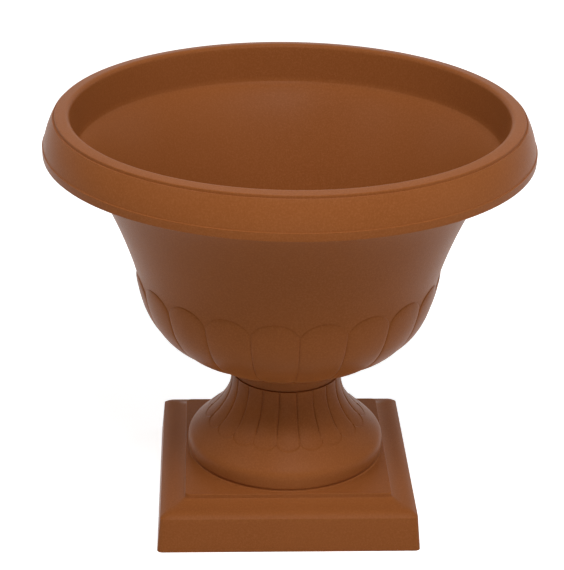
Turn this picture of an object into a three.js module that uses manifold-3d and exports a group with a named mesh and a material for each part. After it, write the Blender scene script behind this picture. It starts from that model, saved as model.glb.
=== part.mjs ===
// A garden urn planter in moulded plastic: a wide bowl with a turned-down rim and a band of gadroons,
// bolted on a fluted pedestal with a bell foot and a stepped square plinth.
// Millimetres, +Z up. The origin is the middle of the square that the plinth stands on, and the front
// of the plinth looks along -Y.

import * as THREE from 'three';
import { mergeVertices } from 'three/addons/utils/BufferGeometryUtils.js';
import Module from 'manifold-3d';

const wasm = await Module();
wasm.setup();

// ---------------------------------------------------------------- driving dimensions

const RIM_RADIUS = 200;
const HEIGHT = 348.7;
const WALL = 3;
const FIT_GAP = 0.3; // between two pieces that rest on each other

// Bowl
const FLOOR_TOP_Z = 136.7;
const FLOOR_THICKNESS = 3;
const SOCKET = { radius: 45.6, inside: 42.7, z: 116.2, topZ: 129.3 }; // collar that sits over the spigot
const UNDERSIDE_SLOPE = 0.314; // radians from the level
const WAIST = { radius: 125.7, z: 209.2, lean: 0.169 }; // lean: radians from the upright
const COVE_TOP = { radius: 177.8, z: 315.5, lean: 1.027 };
const UNDERSIDE_REACH = [64, 41.2]; // how far the curve keeps its direction at its two ends
const COVE_REACH = [18.9, 25.7];
const BOWL_EDGE = { radius: 173.4, z: 316.6 }; // sharp edge where the rim's inner band ends

// Rim: a land that falls outwards, a groove, a convex face, a bead line and a plain band
const LAND = { inner: 177.4, outer: 189.6, round: 4, fall: 1, groove: 3.1 };
const SKIRT_Z = 315.7; // lower edge of the turned-down rim
const BEAD = { z: 322.6, ledge: 0.9 };
const FACE = { footAngle: 99, topAngle: 119, reach: 8 }; // degrees from the radius
const SKIRT_TOP = { in: 2.4, down: 5 }; // the channel behind the face, from the land's outer edge

// Gadroons, the rounded lobes round the lower half of the bowl
const LOBES = 20;
const LOBE_APEX_Z = 215;
const LOBE_CUSP_Z = 199;
const LOBE_EDGE = { height: 0.55, width: 3.2 }; // quarter-round step up from the valley
const LOBE_CROWN = 0.75; // further rise to the middle of the lobe
const LOBE_TOP_ROUND = 8; // length over which the top of a lobe rounds off
const LOBE_FADE = 9; // length over which the lobes run out at the socket

// Pedestal
const SPIGOT_RADIUS = 42.3;
const WEB_THICKNESS = 3;
const HOLLOW_INSET = 3.4; // wall of the stem and the bell foot
const HOLLOW_TOP_Z = 108.7; // where the hollow narrows to the spigot's
const STEM_TOP = { radius: 46.8, z: 115.9, lean: -0.12 };
const STEM_MID = { radius: 65.1, z: 75.2, slope: 0.807 }; // from hollow curve to swelling foot
const FOOT = { radius: 83.9, z: 50.5, turnZ: 44.9, baseRadius: 81.6 }; // rounded under to its base
const STEM_REACH = [5.1, 27.5];
const BELL_REACH = [23.1, 8.7];
const FLUTES = 20;
const FLUTE_TURN = 9; // degrees from the front to the first valley
const FLUTE_VALLEY = { depth: 0.7, width: 2.2, fade: 9 };
const FLUTE_SUNK = { sides: 0.6, middle: 0.3, fade: 1.1 }; // depth of the flutes under the plain foot
const FLUTE_END = { valleyZ: 76.2, middleZ: 71.3 }; // they end below in half-rounds

// Plinth: half sides of the square
const PLINTH = { foot: 109.2, shoulder: 106.5, shoulderZ: 29.6, plate: 86, plateZ: 41.9, plateStep: 3.6 };
const CORNER_RADIUS = 4;
const INSIDE_CORNER_RADIUS = 2;
const GUSSETS = 8;
const GUSSET = { thickness: 2.4, lowZ: 8 };

// The bowl can be bolted on at any angle. It stands this many degrees out of step with the flutes.
const BOWL_TURN = -6.8;
const LOBE_TURN = FLUTE_TURN + BOWL_TURN;

// Holes and fastening
const DRAINS = { count: 6, ring: 27, bowlRadius: 6, webRadius: 8.5 };
const BOLT_RADIUS = 4;
const BOLT_HOLE_RADIUS = 4.4;
const BOLT_LENGTH = 30;
const BOLT_HEAD = { acrossFlats: 13, height: 5.3, chamfer: 1.2 };
const BOLT_TIP_CHAMFER = 1;
const SEAL = { radius: 13, thickness: 2.5 };
const CLAMP_WASHER = { radius: 15, thickness: 1.5 };
const WING_NUT = { baseRadius: 8, baseHeight: 1.5, topRadius: 6, height: 8 };
const WING = { span: 17, height: 9, thickness: 2.4, tipRadius: 4, root: 3.5, rootHeight: 7, notch: 5 };

// ---------------------------------------------------------------- solids

function orientedOutward(positions, triangles) {
  let volume = 0;
  const [a, b, c] = [new THREE.Vector3(), new THREE.Vector3(), new THREE.Vector3()];
  for (let i = 0; i < triangles.length; i += 3) {
    a.fromArray(positions, 3 * triangles[i]);
    b.fromArray(positions, 3 * triangles[i + 1]);
    c.fromArray(positions, 3 * triangles[i + 2]);
    volume += a.dot(b.cross(c));
  }
  return volume > 0 ? triangles : triangles.slice().reverse();
}

// A skin over a stack of rings. Each ring has the same number of points, and the first and the last
// "ring" is one point on the axis.
function skinned(rings) {
  const positions = [];
  const starts = rings.map((ring) => {
    const start = positions.length / 3;
    ring.forEach((point) => positions.push(...point));
    return start;
  });
  const count = rings[1].length;
  const triangles = [];
  for (let i = 0; i + 1 < rings.length; i++) {
    for (let j = 0; j < count; j++) {
      const next = (j + 1) % count;
      const lower = starts[i];
      const upper = starts[i + 1];
      if (rings[i].length === 1) triangles.push(lower, upper + next, upper + j);
      else if (rings[i + 1].length === 1) triangles.push(lower + j, lower + next, upper);
      else {
        triangles.push(lower + j, lower + next, upper + next);
        triangles.push(lower + j, upper + next, upper + j);
      }
    }
  }
  const geometry = new THREE.BufferGeometry();
  geometry.setAttribute('position', new THREE.Float32BufferAttribute(positions, 3));
  geometry.setIndex(orientedOutward(positions, triangles));
  return geometry;
}

function toSolid(geometry) {
  const bare = geometry.clone();
  bare.deleteAttribute('normal');
  bare.deleteAttribute('uv');
  const welded = mergeVertices(bare, 1e-4);
  const vertProperties = new Float32Array(welded.attributes.position.array);
  const triVerts = new Uint32Array(welded.index.array);
  return new wasm.Manifold(new wasm.Mesh({ numProp: 3, vertProperties, triVerts }));
}

function toGeometry(solid) {
  const mesh = solid.getMesh();
  const geometry = new THREE.BufferGeometry();
  geometry.setAttribute('position', new THREE.BufferAttribute(new Float32Array(mesh.vertProperties), 3));
  geometry.setIndex(Array.from(mesh.triVerts));
  geometry.computeVertexNormals();
  return geometry;
}

// An upright cylinder between two heights.
function drum(radius, lowZ, highZ, sides = 24, x = 0, y = 0) {
  const geometry = new THREE.CylinderGeometry(radius, radius, highZ - lowZ, sides);
  geometry.rotateX(Math.PI / 2);
  geometry.translate(x, y, (lowZ + highZ) / 2);
  return toSolid(geometry);
}

// A turned piece: the outline is a list of [radius, z] from the axis back to the axis, or closed.
function turned(outline, sides = 32) {
  const points = outline.map(([radius, z]) => new THREE.Vector2(radius, z));
  const geometry = new THREE.LatheGeometry(points, sides);
  geometry.rotateX(Math.PI / 2);
  const bare = mergeVertices(withoutNormals(geometry), 1e-4);
  const solid = new THREE.BufferGeometry();
  solid.setAttribute('position', bare.attributes.position);
  const kept = dropFlatTriangles(bare);
  solid.setIndex(orientedOutward(bare.attributes.position.array, kept));
  return toSolid(solid);
}

function withoutNormals(geometry) {
  geometry.deleteAttribute('normal');
  geometry.deleteAttribute('uv');
  return geometry;
}

// Where an outline meets the axis, its last quads shrink to triangles with two equal corners.
function dropFlatTriangles(geometry) {
  const index = Array.from(geometry.index.array);
  const kept = [];
  for (let i = 0; i < index.length; i += 3) {
    const [a, b, c] = index.slice(i, i + 3);
    if (a !== b && b !== c && c !== a) kept.push(a, b, c);
  }
  return kept;
}

// ---------------------------------------------------------------- outlines

const degrees = (angle) => (angle * Math.PI) / 180;

// The azimuth is counted from the front, -Y, towards +X.
function polar(radius, azimuth, z) {
  return [radius * Math.sin(degrees(azimuth)), -radius * Math.cos(degrees(azimuth)), z];
}

// The same columns in each of the repeats round the axis.
function columns(repeats, turn, offsets) {
  const pitch = 360 / repeats;
  return Array.from({ length: repeats }, (_, i) => offsets.map((o) => turn + i * pitch + o)).flat();
}

// 0 in the middle of a lobe or flute, 1 on the valley between two.
function acrossRepeat(azimuth, repeats, turn) {
  const pitch = 360 / repeats;
  const along = (((azimuth - turn) % pitch) + pitch) % pitch;
  return Math.abs((2 * along) / pitch - 1);
}

// A curve between two points with its direction given at both.
function blend(start, startAngle, startReach, end, endAngle, endReach) {
  const from = new THREE.Vector2(start.radius, start.z);
  const to = new THREE.Vector2(end.radius, end.z);
  const leave = new THREE.Vector2(Math.cos(startAngle), Math.sin(startAngle)).multiplyScalar(startReach);
  const arrive = new THREE.Vector2(Math.cos(endAngle), Math.sin(endAngle)).multiplyScalar(endReach);
  return new THREE.CubicBezierCurve(from, leave.add(from), to.clone().sub(arrive), to);
}

// A point of an outline, moved square to it; positive is to the right of the way it runs.
function besides(curve, station, distance) {
  const point = curve.getPoint(station);
  const along = curve.getTangent(station);
  return [point.x + along.y * distance, point.y - along.x * distance];
}

// Where along a rising or falling outline it passes a height.
function stationAt(curve, z) {
  const rising = curve.getPoint(1).y > curve.getPoint(0).y;
  let low = 0;
  let high = 1;
  for (let i = 0; i < 40; i++) {
    const middle = (low + high) / 2;
    if (curve.getPoint(middle).y < z === rising) low = middle;
    else high = middle;
  }
  return (low + high) / 2;
}

function evenly(from, to, steps) {
  return Array.from({ length: steps + 1 }, (_, i) => from + ((to - from) * i) / steps);
}

// 0 to 1 along a quarter of an ellipse: steep at the start, level at the end.
function quarterRound(share) {
  return Math.sqrt(1 - (1 - Math.min(1, share)) ** 2);
}

// The outside of the bowl, from the socket out along the underside and up to the rim.
const upright = Math.PI / 2;
const bowlWall = new THREE.CurvePath();
bowlWall.add(blend({ radius: SOCKET.radius, z: SOCKET.topZ }, UNDERSIDE_SLOPE, UNDERSIDE_REACH[0],
  WAIST, upright - WAIST.lean, UNDERSIDE_REACH[1]));
bowlWall.add(blend(WAIST, upright - WAIST.lean, COVE_REACH[0],
  COVE_TOP, upright - COVE_TOP.lean, COVE_REACH[1]));

// The outside of the pedestal, from the shoulder under the bowl down to the plinth.
const stemWall = new THREE.CurvePath();
stemWall.add(blend(STEM_TOP, -upright - STEM_TOP.lean, STEM_REACH[0],
  STEM_MID, STEM_MID.slope - upright, STEM_REACH[1]));
stemWall.add(blend(STEM_MID, STEM_MID.slope - upright, BELL_REACH[0], FOOT, -upright, BELL_REACH[1]));

// ---------------------------------------------------------------- bowl

// How far a column lies from the valley beside it, along the surface.
function fromValley(across, repeats, radius) {
  return (1 - across) * degrees(180 / repeats) * radius;
}

function lobeRelief(across, station) {
  const { x: radius } = bowlWall.getPoint(station);
  const edge = LOBE_EDGE.height * quarterRound(fromValley(across, LOBES, radius) / LOBE_EDGE.width);
  const fade = Math.min(1, (station * bowlWall.getLength()) / LOBE_FADE);
  return (edge + LOBE_CROWN * (1 - across ** 2)) * fade;
}

function lobeRows(azimuth) {
  const across = acrossRepeat(azimuth, LOBES, LOBE_TURN);
  const arch = Math.sqrt(Math.max(0, 1 - across ** 2));
  const top = stationAt(bowlWall, LOBE_CUSP_Z + (LOBE_APEX_Z - LOBE_CUSP_Z) * arch);
  const length = bowlWall.getLength();
  const crest = top - LOBE_TOP_ROUND / length;
  const rounding = [0.22, 0].map((share) => {
    const s = top - (share * LOBE_TOP_ROUND) / length;
    return besides(bowlWall, s, lobeRelief(across, s) * quarterRound(share));
  });
  const plain = evenly(0, crest, 5).map((s) => besides(bowlWall, s, lobeRelief(across, s)));
  return [...plain, ...rounding];
}

// From the top of the cove up behind the face, down round the skirt and up the face to the land.
function rimRows() {
  const channelInner = RIM_RADIUS - WALL;
  const face = { radius: LAND.outer + 1.5, z: HEIGHT - LAND.groove + 0.2 };
  const faceFoot = { radius: RIM_RADIUS - BEAD.ledge, z: BEAD.z + 0.3 };
  const outerFace = blend(faceFoot, degrees(FACE.footAngle), FACE.reach,
    face, degrees(FACE.topAngle), FACE.reach);
  return [
    [LAND.inner + WALL, HEIGHT - WALL - 0.4],
    [LAND.outer - SKIRT_TOP.in, HEIGHT - SKIRT_TOP.down],
    [channelInner - 0.6, BEAD.z],
    [channelInner - 0.2, SKIRT_Z],
    [RIM_RADIUS - 0.2, SKIRT_Z],
    [RIM_RADIUS, BEAD.z],
    ...evenly(0, 1, 2).map((t) => outerFace.getPoint(t).toArray()),
    [LAND.outer, HEIGHT - LAND.groove],
    [LAND.outer - 0.3, HEIGHT - LAND.fall],
    [LAND.inner + LAND.round, HEIGHT],
    [LAND.inner + 0.3 * LAND.round, HEIGHT - 0.3 * LAND.round],
    [LAND.inner, HEIGHT - LAND.round],
    [BOWL_EDGE.radius, BOWL_EDGE.z],
  ];
}

function bowlOutline(azimuth) {
  const underFloor = FLOOR_TOP_Z - FLOOR_THICKNESS;
  const coveStart = stationAt(bowlWall, LOBE_APEX_Z + 2.5);
  const insideStart = 1 - WALL / bowlWall.getLength();
  const insideEnd = stationAt(bowlWall, FLOOR_TOP_Z - WALL + 0.8);
  return [
    [SOCKET.inside, underFloor],
    [SOCKET.inside, SOCKET.z],
    [SOCKET.radius, SOCKET.z],
    ...lobeRows(azimuth),
    ...evenly(coveStart, 1, 4).map((s) => besides(bowlWall, s, 0)),
    ...rimRows(),
    ...evenly(insideStart, insideEnd, 5).map((s) => besides(bowlWall, s, -WALL)),
    [besides(bowlWall, insideEnd, 0)[0] - WALL, FLOOR_TOP_Z],
  ];
}

function ringsOf(azimuths, outlineAt, firstZ, lastZ) {
  const outlines = azimuths.map((azimuth) => outlineAt(azimuth));
  const rings = outlines[0].map((_, row) => (
    azimuths.map((azimuth, column) => polar(outlines[column][row][0], azimuth, outlines[column][row][1]))
  ));
  return [[[0, 0, firstZ]], ...rings, [[0, 0, lastZ]]];
}

function drainHoles(radius, lowZ, highZ, turn) {
  return columns(DRAINS.count, turn, [0]).map((azimuth) => {
    const [x, y] = polar(DRAINS.ring, azimuth, 0);
    return drum(radius, lowZ, highZ, 16, x, y);
  });
}

function makeBowl() {
  const azimuths = columns(LOBES, LOBE_TURN, [0, 0.8, 4, 9, 14, 17.2]);
  const underFloor = FLOOR_TOP_Z - FLOOR_THICKNESS;
  let bowl = toSolid(skinned(ringsOf(azimuths, bowlOutline, underFloor, FLOOR_TOP_Z)));
  const cuts = drainHoles(DRAINS.bowlRadius, underFloor - 1, FLOOR_TOP_Z + 1, BOWL_TURN);
  cuts.push(drum(BOLT_HOLE_RADIUS, underFloor - 1, FLOOR_TOP_Z + 1));
  cuts.forEach((cut) => { bowl = bowl.subtract(cut); });
  return toGeometry(bowl);
}

// ---------------------------------------------------------------- pedestal

// How deep a column of the stem lies under the outline, at a length above the end of its flute.
function fluteRelief(across, station, up) {
  const { x: radius } = stemWall.getPoint(station);
  const slope = 1 - quarterRound(fromValley(across, FLUTES, radius) / FLUTE_VALLEY.width);
  const valley = FLUTE_VALLEY.depth * slope * Math.min(1, up / FLUTE_VALLEY.fade);
  const sunk = FLUTE_SUNK.middle + (FLUTE_SUNK.sides - FLUTE_SUNK.middle) * across ** 2;
  return valley + sunk * Math.min(1, up / FLUTE_SUNK.fade);
}

function fluteRows(azimuth) {
  const across = acrossRepeat(azimuth, FLUTES, FLUTE_TURN);
  const arch = Math.sqrt(Math.max(0, 1 - across ** 2));
  const end = stationAt(stemWall, FLUTE_END.valleyZ + (FLUTE_END.middleZ - FLUTE_END.valleyZ) * arch);
  const length = stemWall.getLength();
  const foot = stationAt(stemWall, FLUTE_END.middleZ - 4);
  const flute = [...evenly(0, end - FLUTE_SUNK.fade / length, 5), end];
  return [
    ...flute.map((s) => besides(stemWall, s, fluteRelief(across, s, (end - s) * length))),
    ...evenly(foot, 1, 4).map((s) => besides(stemWall, s, 0)),
  ];
}

function pedestalOutline(azimuth) {
  return [
    [SPIGOT_RADIUS, FLOOR_TOP_Z - FLOOR_THICKNESS - FIT_GAP],
    [SPIGOT_RADIUS, STEM_TOP.z],
    ...fluteRows(azimuth),
    [FOOT.radius - 0.4, FOOT.turnZ + 1],
    [FOOT.baseRadius, PLINTH.plateZ - 1],
  ];
}

// The hollow inside the stem and the bell foot, open below.
function stemHollow(webUnderside) {
  return turned([
    [0, webUnderside],
    [SPIGOT_RADIUS - WALL, webUnderside],
    [SPIGOT_RADIUS - WALL, STEM_TOP.z],
    ...evenly(stationAt(stemWall, HOLLOW_TOP_Z), 1, 6).map((s) => besides(stemWall, s, HOLLOW_INSET)),
    [FOOT.radius - HOLLOW_INSET, FOOT.turnZ + 2],
    [FOOT.baseRadius - HOLLOW_INSET, FOOT.turnZ - 2],
    [FOOT.baseRadius - HOLLOW_INSET, PLINTH.shoulderZ],
    [0, PLINTH.shoulderZ],
  ], 48);
}

// A square with round corners, as a ring of points.
function squareRing(half, z, cornerRadius = CORNER_RADIUS) {
  const centre = half - cornerRadius;
  return [0, 90, 180, 270].flatMap((quarter) => evenly(0, 90, 3).map((turn) => {
    const angle = degrees(quarter + turn);
    const corner = degrees(quarter + 45);
    const x = Math.sign(Math.cos(corner)) * centre + cornerRadius * Math.cos(angle);
    const y = Math.sign(Math.sin(corner)) * centre + cornerRadius * Math.sin(angle);
    return [x, y, z];
  }));
}

// The moulding between the plate's step and the block's shoulder, hollow above and swelling below.
function plinthMoulding() {
  const stepZ = PLINTH.plateZ - PLINTH.plateStep;
  return new THREE.CubicBezierCurve(
    new THREE.Vector2(PLINTH.plate, stepZ),
    new THREE.Vector2(PLINTH.plate + 9, stepZ - 5.5),
    new THREE.Vector2(PLINTH.shoulder - 7, stepZ - 1.5),
    new THREE.Vector2(PLINTH.shoulder - 0.5, PLINTH.shoulderZ + 0.6),
  );
}

function plinthBlock() {
  const moulding = evenly(1, 0, 6).map((t) => plinthMoulding().getPoint(t));
  return toSolid(skinned([
    [[0, 0, 0]],
    squareRing(PLINTH.foot, 0),
    squareRing(PLINTH.shoulder, PLINTH.shoulderZ),
    ...moulding.map((point) => squareRing(point.x, point.y)),
    squareRing(PLINTH.plate, PLINTH.plateZ - 0.5),
    squareRing(PLINTH.plate - 0.5, PLINTH.plateZ),
    [[0, 0, PLINTH.plateZ]],
  ]));
}

function plinthHollow() {
  const under = PLINTH.plateZ - WALL;
  return toSolid(skinned([
    [[0, 0, -1]],
    squareRing(PLINTH.foot - WALL, -1, INSIDE_CORNER_RADIUS),
    squareRing(PLINTH.shoulder - WALL, PLINTH.shoulderZ - 3.4, INSIDE_CORNER_RADIUS),
    squareRing(PLINTH.plate - WALL + 1, under - 4, INSIDE_CORNER_RADIUS),
    squareRing(PLINTH.plate - WALL, under, INSIDE_CORNER_RADIUS),
    [[0, 0, under]],
  ]));
}

// Thin upright ribs that tie the plate to the sides and corners of the block.
function gussets() {
  const outer = PLINTH.foot * Math.SQRT2;
  const inner = FOOT.radius + 1;
  return columns(GUSSETS, 0, [0]).map((azimuth) => {
    const rib = new THREE.BoxGeometry(GUSSET.thickness, outer - inner, PLINTH.plateZ - 1 - GUSSET.lowZ);
    rib.translate(0, -(outer + inner) / 2, (PLINTH.plateZ - 1 + GUSSET.lowZ) / 2);
    rib.rotateZ(degrees(azimuth));
    return toSolid(rib);
  });
}

function makePedestal() {
  const webTop = FLOOR_TOP_Z - FLOOR_THICKNESS - FIT_GAP;
  const webUnderside = webTop - WEB_THICKNESS;
  const azimuths = columns(FLUTES, FLUTE_TURN, [0, 1.4, 9, 16.6]);
  const stem = toSolid(skinned(ringsOf(azimuths, pedestalOutline, webTop, PLINTH.plateZ - 1)));
  const block = plinthBlock();
  let pedestal = stem.add(block).subtract(stemHollow(webUnderside)).subtract(plinthHollow());
  gussets().forEach((rib) => { pedestal = pedestal.add(rib.intersect(block)); });
  const cuts = drainHoles(DRAINS.webRadius, webUnderside - 1, webTop + 1, 0);
  cuts.push(drum(BOLT_HOLE_RADIUS, webUnderside - 1, webTop + 1));
  cuts.forEach((cut) => { pedestal = pedestal.subtract(cut); });
  return toGeometry(pedestal);
}

// ---------------------------------------------------------------- fastening

const sealZ = FLOOR_TOP_Z + FIT_GAP;
const headZ = sealZ + SEAL.thickness + FIT_GAP;
const washerTopZ = FLOOR_TOP_Z - FLOOR_THICKNESS - FIT_GAP - WEB_THICKNESS - FIT_GAP;
const nutTopZ = washerTopZ - CLAMP_WASHER.thickness - FIT_GAP;

function washer(radius, thickness, lowZ) {
  const bore = drum(BOLT_RADIUS + FIT_GAP, lowZ - 1, lowZ + thickness + 1, 16);
  return toGeometry(drum(radius, lowZ, lowZ + thickness, 28).subtract(bore));
}

function makeBolt() {
  const corner = BOLT_HEAD.acrossFlats / 2 / Math.cos(degrees(30));
  const topZ = headZ + BOLT_HEAD.height;
  const head = drum(corner, headZ, topZ, 6);
  const chamfer = turned([
    [0, headZ],
    [corner + 0.2, headZ],
    [corner + 0.2, topZ - BOLT_HEAD.chamfer],
    [corner - BOLT_HEAD.chamfer, topZ],
    [0, topZ],
  ], 24);
  const tipZ = headZ - BOLT_LENGTH;
  const shank = turned([
    [0, headZ + 1],
    [BOLT_RADIUS, headZ + 1],
    [BOLT_RADIUS, tipZ + BOLT_TIP_CHAMFER],
    [BOLT_RADIUS - BOLT_TIP_CHAMFER, tipZ],
    [0, tipZ],
  ], 16);
  return toGeometry(head.intersect(chamfer).add(shank));
}

// A flat wing that rises outwards from the boss to a round tip.
function wingShape() {
  const tip = { x: WING.span - WING.tipRadius, y: WING.height };
  const wing = new THREE.Shape();
  wing.moveTo(WING.root, 0);
  wing.lineTo(tip.x, tip.y - WING.tipRadius);
  wing.absarc(tip.x, tip.y, WING.tipRadius, -Math.PI / 2, Math.PI / 2 + 0.5, false);
  wing.quadraticCurveTo(WING_NUT.baseRadius, WING.notch, WING.root, WING.rootHeight);
  return wing;
}

function makeWingNut() {
  const low = nutTopZ - WING_NUT.height;
  const boss = turned([
    [0, nutTopZ],
    [WING_NUT.baseRadius, nutTopZ],
    [WING_NUT.baseRadius, nutTopZ - WING_NUT.baseHeight],
    [WING_NUT.topRadius, low],
    [0, low],
  ], 24);
  const side = new THREE.ExtrudeGeometry(wingShape(), {
    depth: WING.thickness, bevelEnabled: false, curveSegments: 4,
  });
  side.translate(0, 0, -WING.thickness / 2);
  side.rotateX(-Math.PI / 2);
  side.translate(0, 0, nutTopZ);
  const right = toSolid(side);
  const left = toSolid(side.clone().rotateZ(Math.PI));
  const bore = drum(BOLT_RADIUS + FIT_GAP, low - 1, nutTopZ + 1, 16);
  return toGeometry(boss.add(right).add(left).subtract(bore));
}

// ---------------------------------------------------------------- assembly

const terracotta = { color: 0x96592f, roughness: 0.55, metalness: 0 };
const zinc = { color: 0xb4b6b8, roughness: 0.35, metalness: 1 };
const rubber = { color: 0x1d1d1e, roughness: 0.8, metalness: 0 };

function piece(name, geometry, finish) {
  const mesh = new THREE.Mesh(geometry, new THREE.MeshStandardMaterial(finish));
  mesh.name = name;
  return mesh;
}

const planter = new THREE.Group();
planter.add(piece('bowl', makeBowl(), terracotta));
planter.add(piece('pedestal', makePedestal(), terracotta));
planter.add(piece('centre_bolt', makeBolt(), zinc));
planter.add(piece('sealing_washer', washer(SEAL.radius, SEAL.thickness, sealZ), rubber));
planter.add(piece('clamp_washer',
  washer(CLAMP_WASHER.radius, CLAMP_WASHER.thickness, washerTopZ - CLAMP_WASHER.thickness), zinc));
planter.add(piece('wing_nut', makeWingNut(), zinc));

export default planter;
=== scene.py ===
"""A terracotta-coloured plastic urn planter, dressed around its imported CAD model.

Outlines are written in millimetres, as [radius, height] in the plane of the axis, and every mesh is
scaled to metres once. The azimuth is counted from the front, -Y, towards +X, in degrees.
"""

import math

import bmesh
import bpy
import numpy as np
from mathutils import Matrix, Vector
from mathutils.geometry import delaunay_2d_cdt


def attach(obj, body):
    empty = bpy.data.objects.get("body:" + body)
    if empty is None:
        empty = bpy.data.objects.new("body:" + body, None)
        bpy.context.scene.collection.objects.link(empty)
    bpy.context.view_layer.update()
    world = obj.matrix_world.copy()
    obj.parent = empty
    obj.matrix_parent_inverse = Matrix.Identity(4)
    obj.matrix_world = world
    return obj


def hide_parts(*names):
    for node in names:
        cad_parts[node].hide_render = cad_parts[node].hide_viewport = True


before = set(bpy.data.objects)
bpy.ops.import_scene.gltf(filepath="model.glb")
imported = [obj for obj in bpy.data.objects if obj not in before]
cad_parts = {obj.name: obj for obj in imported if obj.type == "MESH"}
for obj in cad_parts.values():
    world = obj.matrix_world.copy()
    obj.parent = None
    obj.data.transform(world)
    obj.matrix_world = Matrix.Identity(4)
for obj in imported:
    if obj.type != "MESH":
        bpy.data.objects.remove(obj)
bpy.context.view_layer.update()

MM = 0.001
SHARP_ANGLE = 38.0
WELD_DISTANCE = 2e-6
COLLAPSED_EDGE = 1e-7
SLIGHT_BEND = 0.02
SAME_POINT = 0.01

# ---------------------------------------------------------------- driving dimensions
# Pairs are [radius, height]. Leans and slopes are in radians. A curve's reaches are the distances from
# its two ends to their control points. Columns are offsets in degrees from a valley to the middle of a
# lobe or flute, and rows are distances along the wall from its end.

RIM_RADIUS = 200
HEIGHT = 348.7
WALL = 3
FIT_GAP = 0.3

FLOOR_TOP_Z = 136.7
FLOOR_THICKNESS = 3
SOCKET_RADIUS = 45.6
SOCKET_INSIDE = 42.7
SEAM_GAP = 0.06
SOCKET_TOP_Z = 129.3
WAIST = (125.7, 209.2)
WAIST_LEAN = 0.169
COVE_TOP = (177.8, 315.5)
COVE_LEAN = 1.027
UNDERSIDE_SLOPE = 0.314
UNDERSIDE_REACHES = (64, 41.2)
COVE_REACHES = (18.9, 25.7)
BOWL_EDGE = (173.4, 316.6)
INSIDE_START = 0.985
FLOOR_EDGE_RISE = 3.0
FLOOR_ROUND = 8.0
LAND_INNER_RADIUS = 177.4
LAND_OUTER_RADIUS = 189.6
LAND_ROUND = 4
LAND_FALL = 1
LAND_GROOVE = 3.1
SKIRT_Z = 315.7
BEAD_Z = 322.6
BEAD_LEDGE = 0.9

LOBES = 20
LOBE_APEX_Z = 215
LOBE_CUSP_Z = 199
LOBE_EDGE = 0.7
LOBE_EDGE_WIDTH = 3.2
LOBE_CROWN = 0.75
LOBE_TOP_ROUND = 8
LOBE_FADE = 9
LOBE_CLEARANCE = 8.0
LOBE_COLUMNS = (0, 0.12, 0.25, 0.4, 0.55, 0.72, 0.95, 1.5, 2.6, 4.2, 6.4)
LOBE_TOP_ROWS = (0.0, 0.06, 0.16, 0.32, 0.55, 0.85, 1.3, 1.9, 2.7, 3.7, 4.9, 6.3, 8.0)
ABOVE_LOBE_SHARES = (0.03, 0.08, 0.16, 0.28, 0.45, 0.7, 1.0)

SPIGOT_RADIUS = 42.3
WEB_THICKNESS = 3
STEM_TOP = (46.8, 115.9)
STEM_MID = (65.1, 75.2)
STEM_TOP_LEAN = 0.12
STEM_SLOPE = 0.807
STEM_UPPER_REACHES = (5.1, 27.5)
STEM_LOWER_REACHES = (23.1, 8.7)
FOOT = (83.9, 50.5)
FOOT_TURN_Z = 44.9
FOOT_BASE_RADIUS = 81.6
FLUTES = 20
FLUTE_TURN = 9
FLUTE_DEPTH = 0.9
FLUTE_CROWN = 0.3
FLUTE_SUNK = 0.3
FLUTE_VALLEY_END_Z = 76.2
FLUTE_MIDDLE_END_Z = 71.3
FLUTE_VALLEY_WIDTH = 2.2
FLUTE_VALLEY_FADE = 9
FLUTE_SUNK_FADE = 1.8
FLUTE_CLEARANCE = 6
FLUTE_COLUMNS = (0, 0.25, 0.5, 0.8, 1.1, 1.5, 2.1, 3.2, 4.8, 6.8)
FLUTE_END_ROWS = (9.0, 6.5, 4.5, 3.0, 2.0, 1.4, 1.1, 0.9, 0.7, 0.5, 0.3, 0.15, 0.0)
BELOW_FLUTE_SHARES = (0.06, 0.15, 0.3, 0.6, 1.0)
HOLLOW_TOP_Z = 108.7
HOLLOW_WALL = WALL + 0.4

PLINTH_FOOT = 109.2
PLINTH_SHOULDER = 106.5
PLINTH_SHOULDER_Z = 29.6
PLINTH_PLATE = 86
PLINTH_PLATE_Z = 41.9
PLINTH_STEP = 3.6
PLATE_EDGE_LEAN = 0.4
MOULDING_LEAVES = (9, 5.5)
MOULDING_ARRIVES = (7, 1.5)
SHOULDER_UNDER_Z = PLINTH_SHOULDER_Z - 3.4
CORNER_RADIUS = 4
INNER_CORNER_RADIUS = 2.0
INNER_ROWS_START = 0.62
GUSSETS = 8
GUSSET_THICKNESS = 2.4
GUSSET_SUNK = 1.2
GUSSET_FOOT_Z = 8.0

BOWL_TURN = -6.8
LOBE_TURN = FLUTE_TURN + BOWL_TURN

DRAINS = 6
DRAIN_RING = 27
DRAIN_RADIUS = 6
WEB_HOLE_RADIUS = 8.5
WEB_RINGS = (2.5, 1.5)
HOLE_CHAMFER = 0.4
HOLE_SIDES = 40
BOLT_RADIUS = 4
BOLT_HOLE_RADIUS = 4.4
BOLT_LENGTH = 30


# ---------------------------------------------------------------- outlines

def bezier(start, start_angle, end, end_angle, reaches, count=500):
    """Points and tangents of a curve that leaves and arrives at the given angles.

    The reaches are the distances from its two ends to their control points.
    """
    p0, p3 = np.array(start, float), np.array(end, float)
    p1 = p0 + reaches[0] * np.array([math.cos(start_angle), math.sin(start_angle)])
    p2 = p3 - reaches[1] * np.array([math.cos(end_angle), math.sin(end_angle)])
    t = np.linspace(0, 1, count)[:, None]
    u = 1 - t
    points = u**3 * p0 + 3 * u**2 * t * p1 + 3 * u * t**2 * p2 + t**3 * p3
    tangents = 3 * u**2 * (p1 - p0) + 6 * u * t * (p2 - p1) + 3 * t**2 * (p3 - p2)
    return points, tangents / np.linalg.norm(tangents, axis=1, keepdims=True)


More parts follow.
